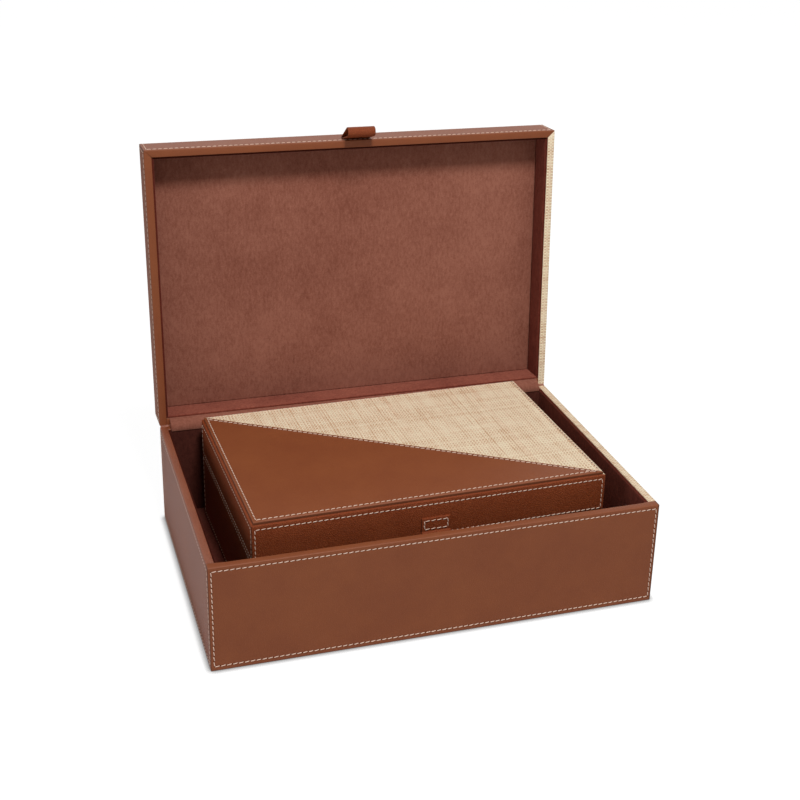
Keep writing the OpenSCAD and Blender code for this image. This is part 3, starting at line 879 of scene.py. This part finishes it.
def seams(s, half, mats):
    """The sewn rectangle of each wall; the large lid's has no row beside its top."""
    e, lo, hi = half.sewing
    rows = []
    for side in SIDES:
        b = half.half_length(side) - e
        top = half.name != "large_lid"
        rows += sewn_rectangle(half, s, side, -b, b, lo, half.h - hi, GROOVE_SINK, top)
    make_sewing(half, mats, "wall", rows)


def top_skins(s, half, mats):
    """The raised panel of a lid: leather and raffia halves that meet on the diagonal,
    both turned down round the edge and sewn along it."""
    x, y = half.w / 2 - s.slab_inset, half.d / 2 - s.slab_inset
    z0, z1 = half.h, half.h + s.slab
    halves = {
        "leather": ([(-x, -y), (x, -y), (-x, y)], [SLAB_ROLL, SEAM_ROLL, SLAB_ROLL]),
        "raffia": ([(x, -y), (x, y), (-x, y)], [SLAB_ROLL, SLAB_ROLL, SEAM_ROLL]),
    }
    for cloth, (corners, edges) in halves.items():
        v, *rest = slab(corners, z0, z1, SLAB_ROLL, edges, uv=cloth == "raffia")
        mat = mats["raffia_weave" if cloth == "raffia" else "leather_smooth"]
        node = f"{half.prefix}_top_{cloth}"
        make_piece(f"{node}_skin", [(carry(half.matrix, v), *rest)], mat, half.name, [node])
    a, b = x - 2.7, y - 2.7
    d = np.array([x, -y]) / math.hypot(x, y)
    off = np.array([d[1], -d[0]]) * 3.2
    # each row's ends and the size of the painted shade at its needle holes: front,
    # right, back, left and beside the diagonal seam
    lines = [
        ((-a, -b), (a, -b), HOLE_SHADE),
        ((a, -b), (a, b), 1.2),
        ((a, b), (-a, b), 0.35),
        ((-a, b), (-a, -b), HOLE_SHADE),
        (np.array([-x, y]) + d * 6 + off, np.array([x, -y]) - d * 6 + off, 0.9),
    ]
    rows = [
        sewn_row(half, s, (*p, z1), (*q, z1), lambda v: v, (0.0, 0.0, 1.0), hole)
        for p, q, hole in lines
    ]
    make_sewing(half, mats, "top", rows)


def linings(s, half, mats):
    """Suede wall panels with a soft upper edge, mitred in the corners, and the panel on
    the floor or ceiling."""
    m, t = half.wall, half.lining
    if half.lid:
        z0, z1 = s.cover, half.ceiling + 2.0
        soft = [0, 0, 0.2, t * 0.8]
    else:
        z0, z1 = half.floor - 0.8, half.h - s.cover
        soft = [0, 0, t * 0.8, 0.2]
    outline = rounded([(m, z0), (m, z1), (m + t, z1), (m + t, z0)], soft)
    shells = {}
    for side in SIDES:
        end = half.half_length(side) - outline[:, 0]
        shell = swept(outline, -end, end, 0.0, 0.0, uv=False)
        height = shell[0][:, 2]
        # painted shade: the lining darkens within 0.9 mm of its edge beside the rim
        lip = z0 + 0.9 - height if half.lid else height - z1 + 0.9
        shells[side] = half.put(side, (*shell[:3], np.clip(lip / 0.6, 0, 1)))
    node = f"{half.prefix}_wall_lining"
    back = shells.pop("back")
    if half.name == "large_lid":
        # painted shade: a darker copy of the suede, in the shade of the lid's front wall
        front = shells.pop("front")
        make_piece(f"{node}_front_suede", [front], mats["suede_deep"], half.name)
    if half.name == "base":
        # painted light: a paler copy of the suede than on the other walls, where this wall faces
        # the light
        right = shells.pop("right")
        make_piece(f"{node}_right_suede", [right], mats["suede_inner"], half.name)
    # painted shade: darker copies of the suede on the other walls
    mat = mats["suede_inner" if half.lid else "suede_deep"]
    make_piece(f"{node}_suede", list(shells.values()), mat, half.name, [node])
    # painted shade: a mid copy of the suede on the lid's back wall, the darkest in the base
    mat = mats["suede_red" if half.lid else "suede_deep"]
    make_piece(f"{node}_back_suede", [back], mat, half.name, [node])

    def panel(part, edge, thick, roll, rolled, z, faces_down, finish):
        """A suede panel with a soft edge, edge inside the walls' outer faces, that lies
        from z to z + thick."""
        x, y = half.w / 2 - edge, half.d / 2 - edge
        corners = [(-x, -y), (x, -y), (x, y), (-x, y)]
        v, *rest = slab(corners, 0, thick, roll, [rolled] * 4, uv=False)
        v[:, 2] = z + (thick - v[:, 2] if faces_down else v[:, 2])
        node = f"{half.prefix}_{part}"
        shell = (carry(half.matrix, v), *rest)
        make_piece(f"{node}_suede", [shell], mats[finish], half.name, [node])

    if half.lid:
        thick = s.panel if half.large else SMALL_PANEL
        panel("panel_lining", m + t + 0.15, thick, 0.9, 0.9, half.ceiling, True, "suede_nap")
    else:
        thick = 2.0 if half.large else 1.5
        z = half.floor - thick
        # painted shade: a darker copy of the suede on the floor
        panel("floor_lining", m, thick, 0.8, t + 0.8, z, False, "suede_inner")
        panel("bottom_cover", s.cover, BOTTOM, 0.5, 0.5, 0.0, True, "suede_nap")


def band(path, width, t):
    """A closed leather band: a rounded rectangle t by width carried round a closed path
    in the (n, z) plane, square to it."""
    p = np.asarray(path, float)
    d = np.roll(p, -1, axis=0) - np.roll(p, 1, axis=0)
    d /= np.linalg.norm(d, axis=1)[:, None]
    side = np.stack([d[:, 1], -d[:, 0]], -1)
    a, b = t / 2, width / 2
    section = rounded([(-a, -b), (a, -b), (a, b), (-a, b)], [t * 0.45] * 4, steps=4)
    flat = p[:, None] + side[:, None] * section[None, :, :1]
    u = np.broadcast_to(section[None, :, 1], flat.shape[:2])
    v = np.stack([u, flat[..., 0], flat[..., 1]], -1).reshape(-1, 3)
    return v, as_faces(tube(len(p), len(section), closed=True)), None


def pull_tab(s, half, mats, low, root, high, nose, radius, stitched):
    """The pull tab: a sewn patch on the front wall, from low to high, and a loop of
    leather that leaves it between low and root and hangs below the rim. The loop's
    strands are the tangents from the wall to its round nose."""
    t, w = 1.5, s.tab_width
    nose, nr = np.array(nose), radius - t / 2
    upper, lower = np.array([t / 2, root - t / 2]), np.array([t / 2, low + t / 2])

    def tangent(p, sign):
        """Where the tangent from p touches the nose: sqrt(l^2 - r^2) from p, turned by
        asin(r / l) from the line to its centre, l away."""
        d = nose - p
        dist = np.linalg.norm(d)
        a = math.atan2(d[1], d[0]) + sign * math.asin(nr / dist)
        return p + np.array([math.cos(a), math.sin(a)]) * math.sqrt(dist**2 - nr**2)

    def strand(a, b, count):
        """Points from a on towards b, which isn't one of them."""
        return a + (b - a) * np.linspace(0, 1, count)[:-1, None]

    top, bottom = tangent(upper, 1), tangent(lower, -1)
    a0 = math.atan2(*(top - nose)[::-1])
    a1 = math.atan2(*(bottom - nose)[::-1])
    while a1 > a0:
        a1 -= 2 * math.pi
    arc = np.linspace(a0, a1, 22)
    bow = nose + nr * np.stack([np.cos(arc), np.sin(arc)], -1)
    loop = [strand(upper, top, 14), bow, strand(bottom, lower, 14)[1:], strand(lower, upper, 6)]
    v, faces, _ = band(np.concatenate(loop), w, t)
    v[:, 1] = -v[:, 1]
    shells = [half.put("front", (v, faces, None))]
    outline = rounded([(0, low), (0, high), (t + 0.2, high), (t + 0.2, low)], [0.6, 0.6, 0, 0])
    v, *rest = swept(outline, -w / 2, w / 2, 0.6, 0.6, uv=False)
    v[:, 1] -= t
    shells.append(half.put("front", (v, *rest)))
    name, node = f"{half.prefix}_tab", f"{half.prefix}_pull_tab"
    make_piece(name, shells, mats["leather_pebbled"], half.name, [node])
    if stitched:
        e = 2.6
        sewn = (-w / 2 + e, w / 2 - e, root + 1.6, high - e)
        rows = sewn_rectangle(half, s, "front", *sewn, -t)
        make_sewing(half, mats, "tab", rows, pricked=False)


def along_x(profile, half_width, matrix):
    """A (y, z) outline carried from -half_width to half_width along x."""
    v, *rest = swept(np.array(profile, float), -half_width, half_width, 0.0, 0.0, uv=False)
    return carry(matrix, v), *rest


def large_hinge(s, mats):
    """The suede fold that fills the corner behind the small box and bulges forward, and
    the leather spine sewn across the back; both are bent to the lid's open angle. The
    fold's front is a quarter ellipse from its top edge to its foot, out(t) = top - (top - out) cos
    t."""
    g, leg, glue = s.slit / 2, 12.0, 0.02
    hinge = Matrix.Translation((0, s.depth / 2, s.base_height + g))
    turn = math.radians(s.open_angle)
    cos, sin = math.cos(turn), math.sin(turn)

    def opened(y, z):
        """A point of the shut lid, where it lies when the lid stands open."""
        return y * cos + z * sin, z * cos - y * sin

    inner = s.wall + s.lining
    sill = -g - s.cover
    out, low = -inner - 0.7, sill - 0.4
    top = opened(-7.6, g)
    t = np.radians(np.linspace(90, 0, 17))
    front = np.stack([top[0] - (top[0] - out) * np.cos(t), -g + (top[1] + g) * np.sin(t)], -1)
    lip = rounded([(out, -g), (out, low), (-inner, low), (-inner, sill)], [0, 0.35, 0.3, 0])
    back = -SPINE_SINK - glue
    fold = [[(back, -g), opened(back, g)], front, lip[1:], [(-s.wall, sill), (-s.wall, -g)]]
    shell = along_x(np.concatenate(fold), s.width / 2 - inner - 1, hinge)
    y, z = s.depth / 2 * MM, (s.base_height + g) * MM
    body = ("base", "large_lid", (0, y - 0.0085, z - 0.001), (0, y + 0.0005, z + 0.0072))
    make_piece("hinge_fold", [shell], mats["suede_nap"], body, ["hinge_suede"])
    # from the foot up: the sunk edge, the bevelled outer edge and the bend
    lower = [(-SPINE_SINK, g + leg), (SPINE_BEVEL, g + leg), (SPINE_PROUD, g + leg - 0.5)]
    lower.append((SPINE_PROUD, g))
    spine = [(p, -q) for p, q in lower] + [opened(*p) for p in lower[::-1]]
    spine += [opened(-SPINE_SINK, g), (-SPINE_SINK, -g)]
    shell = along_x(spine, s.width / 2 - 0.6, hinge)
    body = ("base", "large_lid", (0, y, z - g * MM), (0, y + g * MM, z))
    make_piece("hinge_spine", [shell], mats["leather_sides"], body, ["hinge_leather"])


def small_hinge(s, mats):
    """The small box's spine and the thin suede fold inside it."""
    matrix = box_places(s)["small_box"]
    w, d, h = s.small_width / 2, s.small_depth / 2, s.small_base
    top, leg = h + s.small_slit, 10.0
    ends = tuple(tuple(carry(matrix, (0, d, z)) * MM) for z in (h, top))
    body = ("small_box", "small_lid", *ends)
    levels = np.linspace(h - leg + 1, top + leg - 1, 40)
    sunk, bevel, proud = d - SPINE_SINK, d + SPINE_BEVEL, d + SPINE_PROUD
    spine = [(sunk, h - leg), (bevel, h - leg), (proud, h - leg + 0.5)]
    spine += [(proud, z) for z in levels]
    spine += [(proud, top + leg - 0.5), (bevel, top + leg), (sunk, top + leg)]
    spine += [(sunk, z) for z in levels[::-1]]
    shell = along_x(spine, w - 0.6, matrix)
    make_piece("small_hinge_spine", [shell], mats["leather_smooth"], body, ["small_hinge_leather"])
    inner, t, drop = s.small_wall + s.small_lining + 0.3, 0.3, 7.2
    front, back = d - inner, d - 0.6
    fold = [(front, h - drop), (front + t, h - drop), (front + t, h), (back - t, h), (back, h)]
    fold += [(back, top), (back - t, top), (front + t, top), (front + t, top + drop)]
    fold += [(front, top + drop), (front, top - t), (back - t, top - t)]
    fold += [(back - t, h + t), (front, h + t)]
    shell = along_x(fold, w - inner, matrix)
    make_piece("small_hinge_fold", [shell], mats["suede_nap"], body, ["small_hinge_suede"])


# ---------------------------------------------------------------- stage
def paper_floor(scene):
    """A floor that looks white to the camera, with a painted contact shadow where the box
    stands on it, and keeps part of the box's shadow."""
    f = Finish("floor_paper")
    f.surface(Base_Color=(0.7, 0.7, 0.7, 1), Roughness=0.9, Specular_IOR_Level=0.1)
    share = f.calc("MULTIPLY", f.add("LightPath").outputs["Is Camera Ray"], 0.8)
    # painted contact shadow: the camera's white dims with ambient occlusion within 6 mm
    near = f.add("AmbientOcclusion", {"Distance": 0.006}, samples=8).outputs["AO"]
    white = f.calc("MULTIPLY", f.calc("POWER", near, 1.7), 1.2)
    glow = f.add("Emission", {"Strength": white}).outputs[0]
    both = f.add("MixShader", {0: share, 1: f.base.outputs[0], 2: glow})
    f.fill(f.out, {0: both.outputs[0]})
    e = 6.0
    mesh = bpy.data.meshes.new("floor")
    mesh.from_pydata([(-e, -e, 0), (e, -e, 0), (e, e, 0), (-e, e, 0)], [], [(0, 1, 2, 3)])
    mesh.materials.append(f.mat)
    floor = bpy.data.objects.new("floor", mesh)
    scene.collection.objects.link(floor)


def pale_world(scene):
    """A dim white light from all round, seen as full white by the camera and in gloss."""
    scene.world = scene.world or bpy.data.worlds.new("studio")
    scene.world.use_nodes = True
    tree = scene.world.node_tree
    tree.nodes.clear()
    out, ray, seen, lit, mix, white = (
        tree.nodes.new("ShaderNode" + kind)
        for kind in ("OutputWorld", "LightPath", "Background", "Background", "MixShader", "Math")
    )
    for light, strength in ((seen, 1.0), (lit, 0.2)):
        light.inputs["Color"].default_value = (1, 1, 1, 1)
        light.inputs["Strength"].default_value = strength
    white.operation = "MAXIMUM"
    for start, end in (
        (ray.outputs["Is Camera Ray"], white.inputs[0]),
        (ray.outputs["Is Glossy Ray"], white.inputs[1]),
        (white.outputs[0], mix.inputs[0]),
        (lit.outputs[0], mix.inputs[1]),
        (seen.outputs[0], mix.inputs[2]),
        (mix.outputs[0], out.inputs[0]),
    ):
        tree.links.new(start, end)


def lamp(scene, name, place, size, power, aim=(0.0, 0.0, 0.15)):
    """A round area lamp at place that shines at aim. Its axes are the unit vectors
    back = place - aim, right = up x back and back x right."""
    data = bpy.data.lights.new(name, "AREA")
    data.shape, data.size, data.energy = "DISK", size, power
    back = np.array(place) - np.array(aim)
    back /= np.linalg.norm(back)
    right = np.cross((0.0, 0.0, 1.0), back)
    right /= np.linalg.norm(right)
    turn = np.eye(4)
    turn[:3] = np.column_stack([right, np.cross(back, right), back, place])
    light = bpy.data.objects.new(name, data)
    scene.collection.objects.link(light)
    light.matrix_world = Matrix(turn.tolist())


def camera(scene):
    """The photograph's camera, fitted to the box's straight edges."""
    data = bpy.data.cameras.new("camera")
    data.lens, data.sensor_width = 62.461, 36.0
    data.shift_x, data.shift_y = -0.0560, -0.0503
    data.clip_start, data.clip_end = 0.05, 50
    eye = bpy.data.objects.new("camera", data)
    scene.collection.objects.link(eye)
    eye.matrix_world = Matrix(
        [
            [0.947518, 0.095793, -0.305014, -0.34663],
            [-0.318098, 0.377956, -0.869462, -1.10722],
            [0.031993, 0.920855, 0.388592, 0.69644],
            [0, 0, 0, 1],
        ]
    )
    scene.camera = eye


# ---------------------------------------------------------------- operators
class Dress:
    """What the operators of the four halves share."""

    bl_options = {"REGISTER", "UNDO"}
    half = None

    def execute(self, context):
        s = read_sizes(context)
        mats = materials()
        half = Half(s, self.half)
        (lid_covers if half.lid else base_covers)(s, half, mats)
        seams(s, half, mats)
        linings(s, half, mats)
        if half.lid:
            top_skins(s, half, mats)
        return {"FINISHED"}


class STATIONERY_OT_large_base(Dress, bpy.types.Operator):
    """Covers, linings and stitching of the large base"""

    bl_idname = "stationery.large_base"
    bl_label = "Dress the large base"
    half = "base"


class STATIONERY_OT_large_lid(Dress, bpy.types.Operator):
    """Covers, linings, raised panel and stitching of the large lid"""

    bl_idname = "stationery.large_lid"
    bl_label = "Dress the large lid"
    half = "large_lid"


class STATIONERY_OT_small_base(Dress, bpy.types.Operator):
    """Covers, linings and stitching of the small box"""

    bl_idname = "stationery.small_base"
    bl_label = "Dress the small box"
    half = "small_box"


class STATIONERY_OT_small_lid(Dress, bpy.types.Operator):
    """Covers, linings, raised panel and stitching of the small lid"""

    bl_idname = "stationery.small_lid"
    bl_label = "Dress the small lid"
    half = "small_lid"


class STATIONERY_OT_tabs(bpy.types.Operator):
    """The two leather pull tabs"""

    bl_idname = "stationery.tabs"
    bl_label = "Add the pull tabs"

    def execute(self, context):
        s = read_sizes(context)
        mats = materials()
        # low, root and high on the wall, the nose's centre and radius, whether sewn
        pull_tab(s, Half(s, "large_lid"), mats, 8.0, 15.0, 15.0, (9.4, -7.8), 4.7, False)
        pull_tab(s, Half(s, "small_lid"), mats, 2.0, 6.0, 18.4, (10.3, -8.6), 3.9, True)
        return {"FINISHED"}


class STATIONERY_OT_hinges(bpy.types.Operator):
    """The suede folds and leather spines of both hinges"""

    bl_idname = "stationery.hinges"
    bl_label = "Add the hinges"

    def execute(self, context):
        s = read_sizes(context)
        mats = materials()
        large_hinge(s, mats)
        small_hinge(s, mats)
        return {"FINISHED"}


class STATIONERY_OT_boards(bpy.types.Operator):
    """Board finish for the wall, floor and top boards under the covers"""

    bl_idname = "stationery.boards"
    bl_label = "Finish the boards"

    def execute(self, context):
        board = materials()["board_plain"]
        shown = [n for name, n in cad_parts.items() if name.endswith("board")]
        if not shown:
            raise RuntimeError("no board was found in the frame")
        for node in shown:
            node.data.materials.clear()
            node.data.materials.append(board)
        return {"FINISHED"}


class STATIONERY_OT_stage(bpy.types.Operator):
    """Pale floor, soft light and the camera"""

    bl_idname = "stationery.stage"
    bl_label = "Set the stage"

    def execute(self, context):
        scene = context.scene
        paper_floor(scene)
        pale_world(scene)
        lamp(scene, "key", (0.1, -1.35, 2.55), 0.6, 56)
        lamp(scene, "fill", (-2.0, -0.5, 0.2), 1.0, 8)
        camera(scene)
        scene.view_settings.view_transform = "Standard"
        return {"FINISHED"}


OPERATORS = (
    STATIONERY_OT_large_base,
    STATIONERY_OT_large_lid,
    STATIONERY_OT_small_base,
    STATIONERY_OT_small_lid,
    STATIONERY_OT_tabs,
    STATIONERY_OT_hinges,
    STATIONERY_OT_boards,
    STATIONERY_OT_stage,
)


class STATIONERY_PT_panel(bpy.types.Panel):
    """Buttons that dress the box"""

    bl_idname = "STATIONERY_PT_panel"
    bl_label = "Stationery box"
    bl_space_type = "VIEW_3D"
    bl_region_type = "UI"
    bl_category = "Stationery box"

    def draw(self, context):
        for group in (context.scene.stationery_sizes, context.scene.stationery_colours):
            column = self.layout.column(align=True)
            for name in group.__annotations__:
                column.prop(group, name)
        for operator in OPERATORS:
            self.layout.operator(operator.bl_idname)


CLASSES = (StationerySizes, StationeryColours, *OPERATORS, STATIONERY_PT_panel)


def register():
    """Registers the classes and puts the sizes and colours on the scene."""
    for cls in CLASSES:
        bpy.utils.register_class(cls)
    bpy.types.Scene.stationery_sizes = bpy.props.PointerProperty(type=StationerySizes)
    bpy.types.Scene.stationery_colours = bpy.props.PointerProperty(type=StationeryColours)


def unregister():
    """Takes back what register() did."""
    del bpy.types.Scene.stationery_colours
    del bpy.types.Scene.stationery_sizes
    for cls in reversed(CLASSES):
        bpy.utils.unregister_class(cls)


def main():
    register()
    for operator in OPERATORS:
        group, name = operator.bl_idname.split(".")
        getattr(getattr(bpy.ops, group), name)()


if __name__ == "__main__":
    main()
